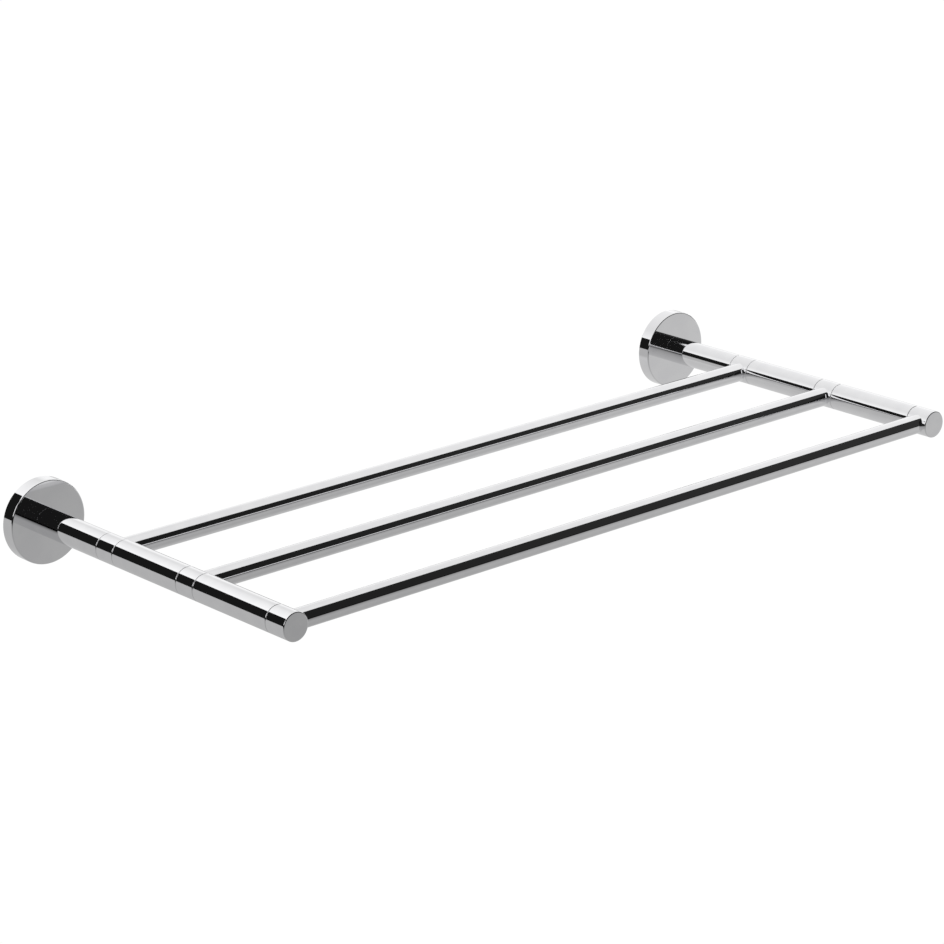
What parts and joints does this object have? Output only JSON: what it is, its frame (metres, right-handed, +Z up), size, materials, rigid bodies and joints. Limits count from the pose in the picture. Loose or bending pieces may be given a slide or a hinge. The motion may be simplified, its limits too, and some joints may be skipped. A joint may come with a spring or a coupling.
{
  "type": "towel rack",
  "caption": "Wall-mounted bathroom towel rack: round rails between two round arms that stand out from round wall roses, all polished chrome.",
  "frame": {"origin": "on the wall plane, midway between the two roses, level with the arm axes: the centre of the pattern of wall screw holes", "axes": "+X along the rails to the right as seen from the room, +Y into the wall, +Z up; the rack stands out towards -Y"},
  "size_m": [0.66, 0.281, 0.06],
  "materials": {
    "chrome_plate": "polished chrome plate",
    "steel": "zinc-plated steel",
    "black_steel": "black oxide",
    "brass": "turned brass"
  },
  "bodies": {
    "root": {"left_wall_plate": "steel", "left_rose": "chrome_plate", "left_grub_screw": "black_steel", "left_rod_washer": "steel", "left_rod_nut": "steel", "left_tie_rod": "steel", "left_rear_arm_tube": "chrome_plate", "left_rear_collar": "chrome_plate", "left_middle_arm_tube": "chrome_plate", "left_middle_collar": "chrome_plate", "left_front_arm_tube": "chrome_plate", "left_end_fitting": "chrome_plate", "left_rear_rail_plug": "brass", "left_middle_rail_plug": "brass", "left_front_rail_plug": "brass", "right_wall_plate": "steel", "right_rose": "chrome_plate", "right_grub_screw": "black_steel", "right_rod_washer": "steel", "right_rod_nut": "steel", "right_tie_rod": "steel", "right_rear_arm_tube": "chrome_plate", "right_rear_collar": "chrome_plate", "right_middle_arm_tube": "chrome_plate", "right_middle_collar": "chrome_plate", "right_front_arm_tube": "chrome_plate", "right_end_fitting": "chrome_plate", "right_rear_rail_plug": "brass", "right_middle_rail_plug": "brass", "right_front_rail_plug": "brass", "rear_rail": "chrome_plate", "middle_rail": "chrome_plate", "front_rail": "chrome_plate"}
  },
  "joints": []
}
